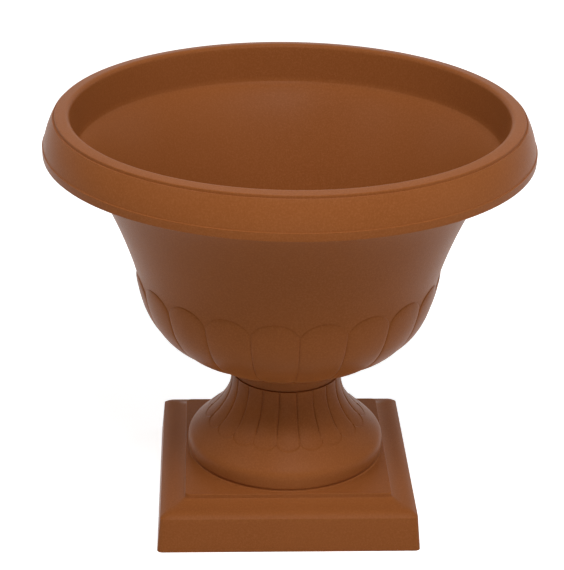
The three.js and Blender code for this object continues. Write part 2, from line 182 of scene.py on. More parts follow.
class Outline:
    """A smooth outline, read by the distance along it."""

    def __init__(self, *curves):
        self.points = np.concatenate([c[0] for c in curves])
        self.tangents = np.concatenate([c[1] for c in curves])
        steps = np.linalg.norm(np.diff(self.points, axis=0), axis=1)
        self.distance = np.concatenate([[0], np.cumsum(steps)])
        self.length = self.distance[-1]

    def at(self, distance, aside=0.0):
        """A point moved to the right of the way the outline runs."""
        point = [np.interp(distance, self.distance, self.points[:, i]) for i in (0, 1)]
        along = [np.interp(distance, self.distance, self.tangents[:, i]) for i in (0, 1)]
        return np.stack([point[0] + along[1] * aside, point[1] - along[0] * aside], -1)

    def where(self, z):
        """The distance along at which the outline passes a height."""
        heights = self.points[:, 1]
        order = np.argsort(heights)
        return np.interp(z, heights[order], self.distance[order])


def rounded(corners, spacing=4.0, turn=12.0):
    """A polygon's points with each corner [radius, height, fillet] rounded, and long sides divided."""
    points = []
    last = len(corners) - 1
    for i, (r, z, fillet) in enumerate(corners):
        here = np.array([r, z], float)
        if fillet == 0 or i in (0, last):
            points.append(here)
            continue
        before = np.array(corners[i - 1][:2], float) - here
        after = np.array(corners[i + 1][:2], float) - here
        a, b = before / np.linalg.norm(before), after / np.linalg.norm(after)
        opening = math.acos(max(-1.0, min(1.0, float(a @ b))))
        bend = math.pi - opening
        if bend < SLIGHT_BEND:
            points.append(here)
            continue
        reach = fillet / math.tan(opening / 2)
        middle = (a + b) / np.linalg.norm(a + b)
        centre = here + middle * fillet / math.sin(opening / 2)
        first, final = here + a * reach - centre, here + b * reach - centre
        steps = max(2, math.ceil(math.degrees(bend) / turn))
        for k in range(steps + 1):
            t = k / steps
            weight_a = math.sin((1 - t) * bend) / math.sin(bend)
            weight_b = math.sin(t * bend) / math.sin(bend)
            points.append(centre + weight_a * first + weight_b * final)
    spaced = [points[0]]
    for point in points[1:]:
        gap = np.linalg.norm(point - spaced[-1])
        if gap < SAME_POINT:
            continue
        parts = max(1, round(gap / spacing))
        start = spaced[-1]
        spaced += [start + (point - start) * k / parts for k in range(1, parts + 1)]
    return np.array(spaced)


waist_angle = math.pi / 2 - WAIST_LEAN
cove_angle = math.pi / 2 - COVE_LEAN
bowl_wall = Outline(
    bezier((SOCKET_RADIUS, SOCKET_TOP_Z), UNDERSIDE_SLOPE, WAIST, waist_angle, UNDERSIDE_REACHES),
    bezier(WAIST, waist_angle, COVE_TOP, cove_angle, COVE_REACHES),
)
stem_top_angle = -math.pi / 2 + STEM_TOP_LEAN
stem_mid_angle = STEM_SLOPE - math.pi / 2
stem_wall = Outline(
    bezier(STEM_TOP, stem_top_angle, STEM_MID, stem_mid_angle, STEM_UPPER_REACHES),
    bezier(STEM_MID, stem_mid_angle, FOOT, -math.pi / 2, STEM_LOWER_REACHES),
)


# ---------------------------------------------------------------- meshes

def polar(radius, azimuth, z):
    """Points at the given azimuths; each of the three may be a number or one value a column."""
    angle = np.radians(azimuth)
    radius, z = np.broadcast_to(radius, angle.shape), np.broadcast_to(z, angle.shape)
    return np.stack([radius * np.sin(angle), -radius * np.cos(angle), z], -1)


def revolved(outline, azimuth):
    """The rings of an outline turned round the axis."""
    return [polar(r, azimuth, z) for r, z in outline]


def between(ring, other, parts):
    """Rings spaced evenly from one ring to another, both included."""
    return [ring + (other - ring) * k / parts for k in range(parts + 1)]


def columns(repeats, turn, offsets):
    """The azimuths of the columns: the same offsets in each repeat round the axis."""
    pitch = 360 / repeats
    return np.concatenate([turn + i * pitch + np.array(offsets) for i in range(repeats)])


def mirrored_offsets(half, pitch):
    """Offsets from one valley to just before the next, the same on both sides of the middle."""
    return list(half) + [pitch / 2] + [pitch - o for o in reversed(half) if o > 0]


def across_repeat(azimuth, repeats, turn):
    """0 in the middle of a lobe or flute, 1 on the valley between two."""
    pitch = 360 / repeats
    return np.abs(2 * ((azimuth - turn) % pitch) / pitch - 1)


def smooth_step(value):
    """0 to 1, level at both ends."""
    value = np.clip(value, 0, 1)
    return value * value * (3 - 2 * value)


class Skin:
    """Gathers grids and flat pieces of one closed surface, and welds them into an object."""

    def __init__(self):
        self.points = []
        self.faces = []

    def add(self, points, faces):
        start = sum(len(p) for p in self.points)
        self.points.append(np.asarray(points, float))
        self.faces += [[start + i for i in face] for face in faces]

    def grid(self, rings):
        """The quads between closed rings with the same number of points."""
        count = len(rings[0])
        faces = []
        for i in range(len(rings) - 1):
            for j in range(count):
                a, b = i * count + j, i * count + (j + 1) % count
                faces.append([a, b, b + count, a + count])
        self.add(np.concatenate(rings), faces)

    def disc(self, ring, holes):
        """A level face inside a ring, with round holes given as rings of points."""
        loops = [ring, *holes]
        flat = np.concatenate(loops)
        edges = []
        start = 0
        for loop in loops:
            count = len(loop)
            edges += [(start + i, start + (i + 1) % count) for i in range(count)]
            start += count
        inside_without_holes = 3
        cut = delaunay_2d_cdt([Vector(p[:2]) for p in flat], edges, [], inside_without_holes, 1e-5)
        self.add([[p.x, p.y, flat[0][2]] for p in cut[0]], cut[2])

    def build(self, name, sharp=SHARP_ANGLE):
        mesh = bpy.data.meshes.new(name)
        mesh.from_pydata((np.concatenate(self.points) * MM).tolist(), [], self.faces)
        work = bmesh.new()
        work.from_mesh(mesh)
        bmesh.ops.remove_doubles(work, verts=work.verts, dist=WELD_DISTANCE)
        bmesh.ops.dissolve_degenerate(work, edges=work.edges, dist=COLLAPSED_EDGE)
        bmesh.ops.recalc_face_normals(work, faces=work.faces)
        work.to_mesh(mesh)
        work.free()
        mesh.shade_smooth()
        mesh.set_sharp_from_angle(angle=math.radians(sharp))
        piece = bpy.data.objects.new(name, mesh)
        bpy.context.scene.collection.objects.link(piece)
        return piece


def drilled_web(skin, upper_ring, lower_ring, holes):
    """Closes a skin across the axis by a level web, with chamfered round holes through it."""
    around = np.linspace(0, 360, HOLE_SIDES, endpoint=False)
    top, bottom = upper_ring[0][2], lower_ring[0][2]
    upper_holes, lower_holes = [], []
    for x, y, radius in holes:
        mouth = radius + HOLE_CHAMFER
        rows = [(mouth, top), (radius, top - HOLE_CHAMFER), (radius, bottom + HOLE_CHAMFER), (mouth, bottom)]
        rings = [ring + np.array([x, y, 0]) for ring in revolved(rows, around)]
        skin.grid(rings)
        upper_holes.append(rings[0])
        lower_holes.append(rings[-1])
    skin.disc(upper_ring, upper_holes)
    skin.disc(lower_ring, lower_holes)


def drain_places(turn, radius):
    """The bolt hole on the axis and the ring of drain holes round it, as (x, y, radius)."""
    places = [(0.0, 0.0, BOLT_HOLE_RADIUS)]
    for azimuth in columns(DRAINS, turn, [0]):
        x, y = polar(DRAIN_RING, azimuth, 0.0)[:2]
        places.append((x, y, radius))
    return places


# ---------------------------------------------------------------- bowl

def quarter_round(share):
    """0 to 1 along a quarter of an ellipse: steep at the start, level at the end."""
    return np.sqrt(1 - (1 - np.clip(share, 0, 1)) ** 2)


def lobe_relief(azimuth, distance):
    """How far the gadroons stand out at a distance along the wall."""
    across = across_repeat(azimuth, LOBES, LOBE_TURN)
    radius = bowl_wall.at(distance)[..., 0]
    from_valley = (1 - across) * np.radians(180 / LOBES) * radius
    rise = LOBE_EDGE * quarter_round(from_valley / LOBE_EDGE_WIDTH) + LOBE_CROWN * (1 - across**2)
    return rise * smooth_step(distance / LOBE_FADE)


def lobe_top(azimuth):
    """The distance along the wall at which each column meets the arched top of its lobe."""
    across = across_repeat(azimuth, LOBES, LOBE_TURN)
    arch = np.sqrt(np.clip(1 - across**2, 0, 1))
    return bowl_wall.where(LOBE_CUSP_Z + (LOBE_APEX_Z - LOBE_CUSP_Z) * arch)


def bowl_outside(azimuth):
    """The rings of the lobed underside and the cove, from the socket up to the rim."""
    top = lobe_top(azimuth)
    plain = bowl_wall.where(LOBE_APEX_Z + LOBE_CLEARANCE)
    flush = np.zeros_like(top)
    rings = []
    for share in np.linspace(0, 1, 40)[:-1]:
        distance = share * (top - LOBE_TOP_ROWS[-1])
        rings.append((distance, lobe_relief(azimuth, distance)))
    for down in reversed(LOBE_TOP_ROWS):
        distance = top - down
        rings.append((distance, lobe_relief(azimuth, distance) * quarter_round(down / LOBE_TOP_ROUND)))
    for share in ABOVE_LOBE_SHARES:
        rings.append((top + (plain - top) * share, flush))
    for distance in np.linspace(plain, bowl_wall.length, 38)[1:]:
        rings.append((distance + flush, flush))
    placed = []
    for distance, relief in rings:
        point = bowl_wall.at(distance, relief)
        placed.append(polar(point[:, 0], azimuth, point[:, 1]))
    return placed


def rim_outline():
    """The rolled rim, from inside the skirt round its outer face and land to the bowl's sharp edge."""
    face_foot = (RIM_RADIUS - BEAD_LEDGE, BEAD_Z + 0.3)
    face_top = (LAND_OUTER_RADIUS + 1.5, HEIGHT - LAND_GROOVE + 0.2)
    face = bezier(face_foot, math.radians(99), face_top, math.radians(119), (8, 8), count=9)[0]
    corners = [
        (COVE_TOP[0], COVE_TOP[1], 0),
        (COVE_TOP[0] + 0.2, COVE_TOP[1] + 1.5, 1.0),
        # Under the land, and down inside the skirt
        (LAND_INNER_RADIUS + WALL, HEIGHT - WALL - 0.4, 1.2),
        (LAND_OUTER_RADIUS - 2.4, HEIGHT - 5, 1.2),
        (RIM_RADIUS - WALL - 0.6, BEAD_Z, 6.0),
        (RIM_RADIUS - WALL - 0.2, SKIRT_Z, 0.7),
        # Up the skirt and the bead's ledge, then the rounded face
        (RIM_RADIUS - 0.2, SKIRT_Z, 0.5),
        (RIM_RADIUS, BEAD_Z, 0.35),
        *[(r, z, 0) for r, z in face[:-1]],
        (*face_top, 0.4),
        # The step up to the land, the land, and the band inside it
        (LAND_OUTER_RADIUS + 0.4, HEIGHT - LAND_GROOVE - 0.5, 0.3),
        (LAND_OUTER_RADIUS, HEIGHT - LAND_GROOVE, 0.2),
        (LAND_OUTER_RADIUS - 0.3, HEIGHT - LAND_FALL, 0.8),
        (LAND_INNER_RADIUS + 0.4, HEIGHT + 0.3, LAND_ROUND),
        (BOWL_EDGE[0], BOWL_EDGE[1], 0),
    ]
    return rounded(corners)


def bowl_inside():
    """The inside, from the sharp edge under the rim's band down to the floor."""
    floor_end = bowl_wall.where(FLOOR_TOP_Z - WALL + FLOOR_EDGE_RISE)
    distances = np.linspace(bowl_wall.length * INSIDE_START, floor_end, 60)
    wall = bowl_wall.at(distances, -WALL)
    last = wall[-1]
    floor = rounded([
        (*wall[-2], 0), (last[0], last[1], 0), (last[0] - 12, FLOOR_TOP_Z, FLOOR_ROUND),
        (last[0] - 22, FLOOR_TOP_Z, 0), (last[0] - 23, FLOOR_TOP_Z, 0),
    ])
    return np.concatenate([[BOWL_EDGE], wall[:-1], floor[1:]])


def make_bowl():
    azimuth = columns(LOBES, LOBE_TURN, mirrored_offsets(LOBE_COLUMNS, 360 / LOBES))
    under_floor = FLOOR_TOP_Z - FLOOR_THICKNESS
    collar_z = STEM_TOP[1] + SEAM_GAP
    socket = rounded([
        *[(SOCKET_INSIDE - inset, under_floor, 0) for inset in WEB_RINGS],
        (SOCKET_INSIDE, under_floor, 0.5),
        (SOCKET_INSIDE, collar_z, 0.5),
        (SOCKET_RADIUS, collar_z, 0.15),
        (SOCKET_RADIUS, SOCKET_TOP_Z, 0),
    ])
    rings = revolved(socket, azimuth) + bowl_outside(azimuth)[1:]
    rings += revolved(rim_outline(), azimuth)[1:] + revolved(bowl_inside(), azimuth)[1:]
    skin = Skin()
    skin.grid(rings)
    drilled_web(skin, rings[-1], rings[0], drain_places(BOWL_TURN, DRAIN_RADIUS))
    return skin.build("bowl_shell")


# ---------------------------------------------------------------- pedestal

def flute_relief(azimuth, distance):
    """How deep the fluted stem lies under its outline at a distance down it."""
    across = across_repeat(azimuth, FLUTES, FLUTE_TURN)
    radius = stem_wall.at(distance)[..., 0]
    from_valley = (1 - across) * np.radians(180 / FLUTES) * radius
    valley = 1 - quarter_round(from_valley / FLUTE_VALLEY_WIDTH)
    up = flute_end(azimuth) - distance
    sunk = FLUTE_SUNK + FLUTE_CROWN * across**2
    return (FLUTE_DEPTH * valley * smooth_step(up / FLUTE_VALLEY_FADE)
            + sunk * smooth_step(up / FLUTE_SUNK_FADE))


def flute_end(azimuth):
    """The distance down the stem at which each column meets the half-round end of its flute."""
    across = across_repeat(azimuth, FLUTES, FLUTE_TURN)
    arch = np.sqrt(np.clip(1 - across**2, 0, 1))
    return stem_wall.where(FLUTE_VALLEY_END_Z + (FLUTE_MIDDLE_END_Z - FLUTE_VALLEY_END_Z) * arch)


def pedestal_outside(azimuth):
    """The rings of the fluted stem and the bell foot, from the shoulder down to the plinth."""
    end = flute_end(azimuth)
    plain = stem_wall.where(FLUTE_MIDDLE_END_Z - FLUTE_CLEARANCE)
    distances = [share * (end - FLUTE_END_ROWS[0]) for share in np.linspace(0, 1, 34)[:-1]]
    distances += [end - up for up in FLUTE_END_ROWS]
    distances += [end + (plain - end) * share for share in BELOW_FLUTE_SHARES]
    distances += [np.full_like(end, distance) for distance in np.linspace(plain, stem_wall.length, 26)[1:]]
    placed = []
    for distance in distances:
        point = stem_wall.at(distance, flute_relief(azimuth, distance))
        placed.append(polar(point[:, 0], azimuth, point[:, 1]))
    return placed


def square_reach(azimuth, half, corner_radius):
    """The distance from the axis to a square with round corners, at each azimuth."""
    folded = np.abs((azimuth + 45) % 90 - 45)
    angle = np.radians(folded)
    flat = half / np.cos(angle)
    centre = half - corner_radius
    offset = centre * (np.cos(angle) + np.sin(angle))
    corner = offset + np.sqrt(np.clip(offset**2 - 2 * centre**2 + corner_radius**2, 0, None))
    return np.where(half * np.tan(angle) > centre, corner, flat)


def plinth_rows():
    """The half side and height of each ring of the plinth, from the plate's edge to its foot."""
    step_z = PLINTH_PLATE_Z - PLINTH_STEP
    start = np.array([PLINTH_PLATE + PLATE_EDGE_LEAN, step_z])
    end = np.array([PLINTH_SHOULDER - 0.5, PLINTH_SHOULDER_Z + 0.6])
    first = np.array([PLINTH_PLATE + MOULDING_LEAVES[0], step_z - MOULDING_LEAVES[1]])
    second = np.array([PLINTH_SHOULDER - MOULDING_ARRIVES[0], step_z - MOULDING_ARRIVES[1]])
    t = np.linspace(0, 1, 22)[1:-1, None]
    moulding = (1 - t)**3 * start + 3 * (1 - t)**2 * t * first + 3 * (1 - t) * t**2 * second + t**3 * end
    corners = [
        (PLINTH_PLATE - 1, PLINTH_PLATE_Z, 0),
        (PLINTH_PLATE, PLINTH_PLATE_Z, 0.7),
        (PLINTH_PLATE + PLATE_EDGE_LEAN, step_z, 0.5),
        *[(half, z, 0) for half, z in moulding],
        (PLINTH_SHOULDER, PLINTH_SHOULDER_Z + 0.3, 0.7),
        (PLINTH_FOOT, 0, 0.5),
        (PLINTH_FOOT - WALL, 0, 0.5),
        (PLINTH_SHOULDER - WALL, SHOULDER_UNDER_Z, 2.0),
        (PLINTH_PLATE - WALL + 1, PLINTH_PLATE_Z - WALL - 4, 2.0),
        (PLINTH_PLATE - WALL, PLINTH_PLATE_Z - WALL, 0.6),
        (PLINTH_PLATE - WALL - 1.2, PLINTH_PLATE_Z - WALL, 0),
    ]
    return rounded(corners, spacing=6.0)


def make_pedestal():
    azimuth = columns(FLUTES, FLUTE_TURN, mirrored_offsets(FLUTE_COLUMNS, 360 / FLUTES))
    web_top = FLOOR_TOP_Z - FLOOR_THICKNESS - FIT_GAP
    web_under = web_top - WEB_THICKNESS

    spigot = revolved(rounded([
        *[(SPIGOT_RADIUS - inset, web_top, 0) for inset in WEB_RINGS],
        (SPIGOT_RADIUS, web_top, 0.8),
        (SPIGOT_RADIUS, STEM_TOP[1], 0.3),
        (STEM_TOP[0] - 0.4, STEM_TOP[1], 0),
        (STEM_TOP[0] - 0.2, STEM_TOP[1] - 0.05, 0),
    ]), azimuth)
    stem = pedestal_outside(azimuth)
    stem[0] = polar(STEM_TOP[0], azimuth, STEM_TOP[1] - 0.3)

    foot = revolved(rounded([
        (*FOOT, 0),
        (FOOT[0], FOOT_TURN_Z, 3.0),
        (FOOT_BASE_RADIUS, PLINTH_PLATE_Z, 1.3),
        (FOOT_BASE_RADIUS + 2.7, PLINTH_PLATE_Z, 0),
    ], spacing=1.2, turn=8), azimuth)
    plinth_outline = plinth_rows()
    plinth = []
    for row, (half_side, z) in enumerate(plinth_outline):
        inner = row > len(plinth_outline) * INNER_ROWS_START
        corner_radius = INNER_CORNER_RADIUS if inner else CORNER_RADIUS
        plinth.append(polar(square_reach(azimuth, half_side, corner_radius), azimuth, z))
    plate = between(foot[-1], plinth[0], 6)

    bell_radius = FOOT_BASE_RADIUS - HOLLOW_WALL
    bell_start = polar(bell_radius + 1.2, azimuth, PLINTH_PLATE_Z - WALL)
    under_plate = between(plinth[-1], bell_start, 6)
    hollow_top = stem_wall.where(HOLLOW_TOP_Z)
    hollow = stem_wall.at(np.linspace(stem_wall.length, hollow_top, 40), HOLLOW_WALL)
    bell = revolved(np.concatenate([
        rounded([
            (bell_radius + 1.2, PLINTH_PLATE_Z - WALL, 0),
            (bell_radius, PLINTH_PLATE_Z - WALL, 0.6),
            (bell_radius, FOOT_TURN_Z - 2, 2.0),
            (FOOT[0] - HOLLOW_WALL, FOOT_TURN_Z + 2, 2.0),
            (FOOT[0] - HOLLOW_WALL, FOOT[1], 0),
        ]),
        hollow[1:],
        rounded([
            (*hollow[-1], 0),
            (SPIGOT_RADIUS - WALL, STEM_TOP[1], 3.0),
            (SPIGOT_RADIUS - WALL, web_under, 1.0),
            (SPIGOT_RADIUS - WALL - 2, web_under, 0),
            (SPIGOT_RADIUS - WALL - 3, web_under, 0),
        ])[1:],
    ]), azimuth)

    rings = spigot + stem + foot[1:] + plate[1:] + plinth[1:] + under_plate[1:] + bell[1:]
    skin = Skin()
    skin.grid(rings)
    drilled_web(skin, rings[0], rings[-1], drain_places(0, WEB_HOLE_RADIUS))
    for gusset_azimuth in columns(GUSSETS, 0, [0]):
        add_gusset(skin, gusset_azimuth)
    return skin.build("pedestal_shell")


def add_gusset(skin, azimuth):
    """An upright rib from under the plate out to the plinth's side or corner, sunk into both."""
    reach = float(square_reach(azimuth, PLINTH_SHOULDER - WALL, INNER_CORNER_RADIUS)) + GUSSET_SUNK
    plate_reach = float(square_reach(azimuth, PLINTH_PLATE - WALL, INNER_CORNER_RADIUS))
    inner = FOOT[0] + 1
    top = PLINTH_PLATE_Z - WALL + GUSSET_SUNK
    profile = [
        (inner, top), (inner, top - 6), (inner + 6, GUSSET_FOOT_Z), (reach + 0.5, GUSSET_FOOT_Z),
        (reach, SHOULDER_UNDER_Z), (plate_reach + GUSSET_SUNK, top - 4.5), (plate_reach, top),
    ]
    half = GUSSET_THICKNESS / 2
    angle = math.radians(azimuth)
    out = np.array([math.sin(angle), -math.cos(angle), 0])
    side = np.array([math.cos(angle), math.sin(angle), 0])
    points = [out * r + side * s + np.array([0, 0, z]) for s in (-half, half) for r, z in profile]
    count = len(profile)
    faces = [list(range(count)), list(range(2 * count - 1, count - 1, -1))]
    faces += [[i, i + count, (i + 1) % count + count, (i + 1) % count] for i in range(count)]
    skin.add(points, faces)


# ---------------------------------------------------------------- fastening

SEAL_Z = FLOOR_TOP_Z + FIT_GAP
SEAL_THICKNESS = 2.5
SEAL_RADIUS = 13
SEAL_EDGE = 0.6
HEAD_Z = SEAL_Z + SEAL_THICKNESS + FIT_GAP
WASHER_TOP_Z = FLOOR_TOP_Z - FLOOR_THICKNESS - FIT_GAP - WEB_THICKNESS - FIT_GAP
WASHER_THICKNESS = 1.5
WASHER_RADIUS = 15
WASHER_EDGE = 0.25
NUT_TOP_Z = WASHER_TOP_Z - WASHER_THICKNESS - FIT_GAP
NUT_HEIGHT = 8.0
NUT_BASE_RADIUS = 8.0
NUT_WAIST_RADIUS = 6.0
BORE_RADIUS = BOLT_RADIUS + FIT_GAP
HEAD_ACROSS_FLATS = 13
HEAD_HEIGHT = 5.3
THREAD_DEPTH = 0.55
THREAD_PITCH = 1.25
THREAD_ROWS_PER_TURN = 8
WING_SECTIONS = 14
WING_ROOT = (5.2, 4.2)
WING_RUN = (8.2, 4.6)
WING_BEND = 1.2
WING_HALF_WIDTH = 2.6
WING_SWELL = 2.0
WING_HALF_THICKNESS = 1.5
WING_TAPER = 0.4
WING_TIP_START = 0.72
WING_TIP_LEFT = 0.02
WING_LEAN = 32


def make_washer(name, radius, thickness, top_z, edge):
    """A flat ring with rounded edges; those of its bore are rounded less."""
    azimuth = np.linspace(0, 360, 72, endpoint=False)
    low = top_z - thickness
    bore_edge = edge * 0.6
    seam = (BORE_RADIUS, top_z - thickness / 2, 0)
    outline = rounded([
        seam, (BORE_RADIUS, top_z, bore_edge), (radius, top_z, edge),
        (radius, low, edge), (BORE_RADIUS, low, bore_edge), seam,
    ], spacing=2.0)
    skin = Skin()
    skin.grid(revolved(outline, azimuth))
    return skin.build(name)


def bolt_thread(azimuth, top_z, low_z):
    """The rings of the bolt's thread, fading out at both ends."""
    count = int((top_z - low_z) / THREAD_PITCH * THREAD_ROWS_PER_TURN)
    rings = []
    for z in np.linspace(top_z, low_z, count):
        wave = np.abs(((z / THREAD_PITCH - azimuth / 360) % 1) * 2 - 1)
        fade = min(1.0, (top_z - z) / THREAD_PITCH, (z - low_z) / THREAD_PITCH)
        rings.append(polar(BOLT_RADIUS - THREAD_DEPTH * (1 - wave) * fade, azimuth, z))
    return rings


def make_bolt():
    """A hexagon head with its corners turned off at both faces, a shank and a thread."""
    azimuth = np.linspace(0, 360, 60, endpoint=False)
    flats = HEAD_ACROSS_FLATS / 2
    hexagon = flats / np.cos(np.radians((azimuth + 30) % 60 - 30))
    crown = flats + 0.35
    rings = []
    for radius, z in ((0.0, 0.0), (crown * 0.5, 0.0), (crown * 0.93, -0.02), (crown, -0.12)):
        rings.append(polar(radius, azimuth, HEAD_Z + HEAD_HEIGHT + z))
    for drop in (0.3, 0.6, 1.0):
        turned_edge = crown + drop * 1.6
        rings.append(polar(np.minimum(hexagon, turned_edge), azimuth, HEAD_Z + HEAD_HEIGHT - drop))
    rings.append(polar(hexagon, azimuth, HEAD_Z + 0.4))
    rings.append(polar(np.minimum(hexagon, crown + 0.3), azimuth, HEAD_Z))
    rings.append(polar(BOLT_RADIUS + 0.2, azimuth, HEAD_Z))
    rings.append(polar(BOLT_RADIUS, azimuth, HEAD_Z - 0.2))
    tip = HEAD_Z - BOLT_LENGTH
    rings += bolt_thread(azimuth, HEAD_Z - 4, tip + 1)
    rings += [polar(BOLT_RADIUS - 0.9, azimuth, tip), polar(0.0, azimuth, tip)]
    skin = Skin()
    skin.grid(rings)
    return skin.build("hex_bolt", sharp=30)


def make_wing_nut():
    """A turned boss with two cast wings that lean out and end round."""
    azimuth = np.linspace(0, 360, 72, endpoint=False)
    low = NUT_TOP_Z - NUT_HEIGHT
    seam = (BORE_RADIUS, NUT_TOP_Z - NUT_HEIGHT / 2, 0)
    outline = rounded([
        seam, (BORE_RADIUS, NUT_TOP_Z, 0.4), (NUT_BASE_RADIUS, NUT_TOP_Z, 0.5),
        (NUT_BASE_RADIUS, NUT_TOP_Z - 1.5, 0.5), (NUT_WAIST_RADIUS, low, 0.8),
        (BORE_RADIUS, low, 0.4), seam,
    ], spacing=1.5)
    boss = Skin()
    boss.grid(revolved(outline, azimuth))
    nut = boss.build("wing_nut_cast")
    wings = Skin()
    for side in (1, -1):
        add_wing(wings, side)
    join(nut, wings.build("wings"))
    return nut


def add_wing(skin, side):
    """One wing: an oval section swept from the boss down and out, thinning to a round tip."""
    around = np.linspace(0, 2 * math.pi, 20, endpoint=False)
    lean = math.radians(WING_LEAN)
    across = np.array([-math.sin(lean), 0, -math.cos(lean)])
    rings = []
    for k in range(WING_SECTIONS + 1):
        t = k / WING_SECTIONS
        x = WING_ROOT[0] + WING_RUN[0] * t
        z = NUT_TOP_Z - WING_ROOT[1] - WING_RUN[1] * t**WING_BEND
        centre = np.array([x, 0, z])
        swell = WING_SWELL * math.sin(math.pi * min(1.0, 0.22 + 0.78 * t)) if t < 1 else 0.0
        into_tip = max(0.0, (t - WING_TIP_START) / (1 - WING_TIP_START))
        tip_round = max(math.sqrt(max(0.0, 1 - into_tip**2)), WING_TIP_LEFT)
        wide = (WING_HALF_WIDTH + swell) * tip_round
        thick = (WING_HALF_THICKNESS - WING_TAPER * t) * tip_round
        ring = np.array([centre + across * wide * math.cos(a) + np.array([0, thick * math.sin(a), 0])
                         for a in around])
        ring[:, 0] *= side
        rings.append(ring)
    skin.grid(rings)
    for end in (rings[0], rings[-1]):
        skin.add(end, [list(range(len(around)))])


def join(target, other):
    """Moves the mesh of one object into another's, and removes the first."""
    work = bmesh.new()
    work.from_mesh(target.data)
    work.from_mesh(other.data)
    work.to_mesh(target.data)
    work.free()
    bpy.data.objects.remove(other)
    target.data.shade_smooth()
    target.data.set_sharp_from_angle(angle=math.radians(SHARP_ANGLE))


# ---------------------------------------------------------------- materials

class Nodes:
    """A small helper that adds and links shader nodes."""

    def __init__(self, name):
        self.material = bpy.data.materials.new(name)
        self.material.use_nodes = True
        self.tree = self.material.node_tree
        self.tree.nodes.clear()
        self.output = self.add("ShaderNodeOutputMaterial")
        self.shader = self.add("ShaderNodeBsdfPrincipled")
        self.link(self.shader, "BSDF", self.output, "Surface")
        self.place = self.add("ShaderNodeTexCoord")

    def add(self, kind, **settings):
        node = self.tree.nodes.new(kind)
        for key, value in settings.items():
            setattr(node, key, value)
        return node

    def link(self, source, out, target, into):
        self.tree.links.new(source.outputs[out], target.inputs[into])

    def noise(self, scale, detail, roughness):
        """Noise in the object's own coordinates, in metres."""
        node = self.add("ShaderNodeTexNoise")
        node.inputs["Scale"].default_value = scale
        node.inputs["Detail"].default_value = detail
        node.inputs["Roughness"].default_value = roughness
        self.link(self.place, "Object", node, "Vector")
        return node

    def spread(self, source, out, low, high, to_low, to_high):
        """Maps one range of a value to another, held at both ends."""
        node = self.add("ShaderNodeMapRange")
        values = {"From Min": low, "From Max": high, "To Min": to_low, "To Max": to_high}
        for key, value in values.items():
            node.inputs[key].default_value = value
        self.link(source, out, node, "Value")
        return node

    def mixed(self, factor, out, first, second):
        """Mixes two colours, each given as a tuple or as the socket that brings it."""
        node = self.add("ShaderNodeMix", data_type="RGBA")
        self.link(factor, out, node, "Factor")
        for key, value in (("A", first), ("B", second)):
            if isinstance(value, tuple):
                colour_socket(node, key).default_value = (*value, 1.0)
            else:
                self.tree.links.new(value, colour_socket(node, key))
        return colour_socket(node, "Result", outputs=True)

    def bump(self, source, out, strength, distance):
        """Tilts the normals by a height that a value stands for, in metres."""
        node = self.add("ShaderNodeBump")
        node.inputs["Strength"].default_value = strength
        node.inputs["Distance"].default_value = distance
        self.link(source, out, node, "Height")
        return node


def colour_socket(node, name, outputs=False):
    sockets = node.outputs if outputs else node.inputs
    return [s for s in sockets if s.name == name and s.type == "RGBA"][0]


TERRACOTTA = (0.263, 0.082, 0.021)
TERRACOTTA_PALE = (0.306, 0.103, 0.031)
TERRACOTTA_DEEP = (0.248, 0.076, 0.019)
ZINC_DULL = (0.5, 0.51, 0.53)
ZINC_BRIGHT = (0.68, 0.69, 0.7)
RUBBER_CLEAN = (0.012, 0.012, 0.012)
RUBBER_DUSTY = (0.035, 0.034, 0.032)


def moulded_plastic(name):
    """Matte coloured plastic: a fine spark-eroded grain, faint flow clouds, and convex edges painted paler
    as a painted highlight.
    """
    n = Nodes(name)
    clouds = n.noise(7.0, 3.0, 0.5)
    speckle = n.noise(700.0, 2.0, 0.6)
    grain = n.noise(1100.0, 2.0, 0.6)
    cloudy = n.spread(clouds, "Fac", 0.35, 0.65, 0.0, 1.0)
    base = n.mixed(cloudy, "Result", TERRACOTTA_DEEP, TERRACOTTA)
    speckled = n.spread(speckle, "Fac", 0.42, 0.74, 0.0, 0.75)
    base = n.mixed(speckled, "Result", base, TERRACOTTA_PALE)
    geometry = n.add("ShaderNodeNewGeometry")
    # Painted highlight: convex edges, found by pointiness, are mixed towards the paler colour.
    painted_edge_highlight = n.spread(geometry, "Pointiness", 0.53, 0.62, 0.0, 0.35)
    base = n.mixed(painted_edge_highlight, "Result", base, TERRACOTTA_PALE)
    n.tree.links.new(base, n.shader.inputs["Base Color"])
    rough = n.spread(grain, "Fac", 0.3, 0.7, 0.3, 0.4)
    n.link(rough, "Result", n.shader, "Roughness")
    pits = n.bump(grain, "Fac", 0.3, 0.0004)
    n.link(pits, "Normal", n.shader, "Normal")
    n.shader.inputs["Specular IOR Level"].default_value = 0.04
    return n.material


def plated_steel(name):
    """Bright zinc plating with a faint crystalline mottle."""
    n = Nodes(name)
    mottle = n.noise(420.0, 3.0, 0.6)
    mottled = n.spread(mottle, "Fac", 0.35, 0.65, 0.0, 1.0)
    base = n.mixed(mottled, "Result", ZINC_DULL, ZINC_BRIGHT)
    n.tree.links.new(base, n.shader.inputs["Base Color"])
    n.link(n.spread(mottle, "Fac", 0.3, 0.7, 0.26, 0.42), "Result", n.shader, "Roughness")
    n.shader.inputs["Metallic"].default_value = 1.0
    n.link(n.bump(mottle, "Fac", 0.08, 0.0003), "Normal", n.shader, "Normal")
    return n.material


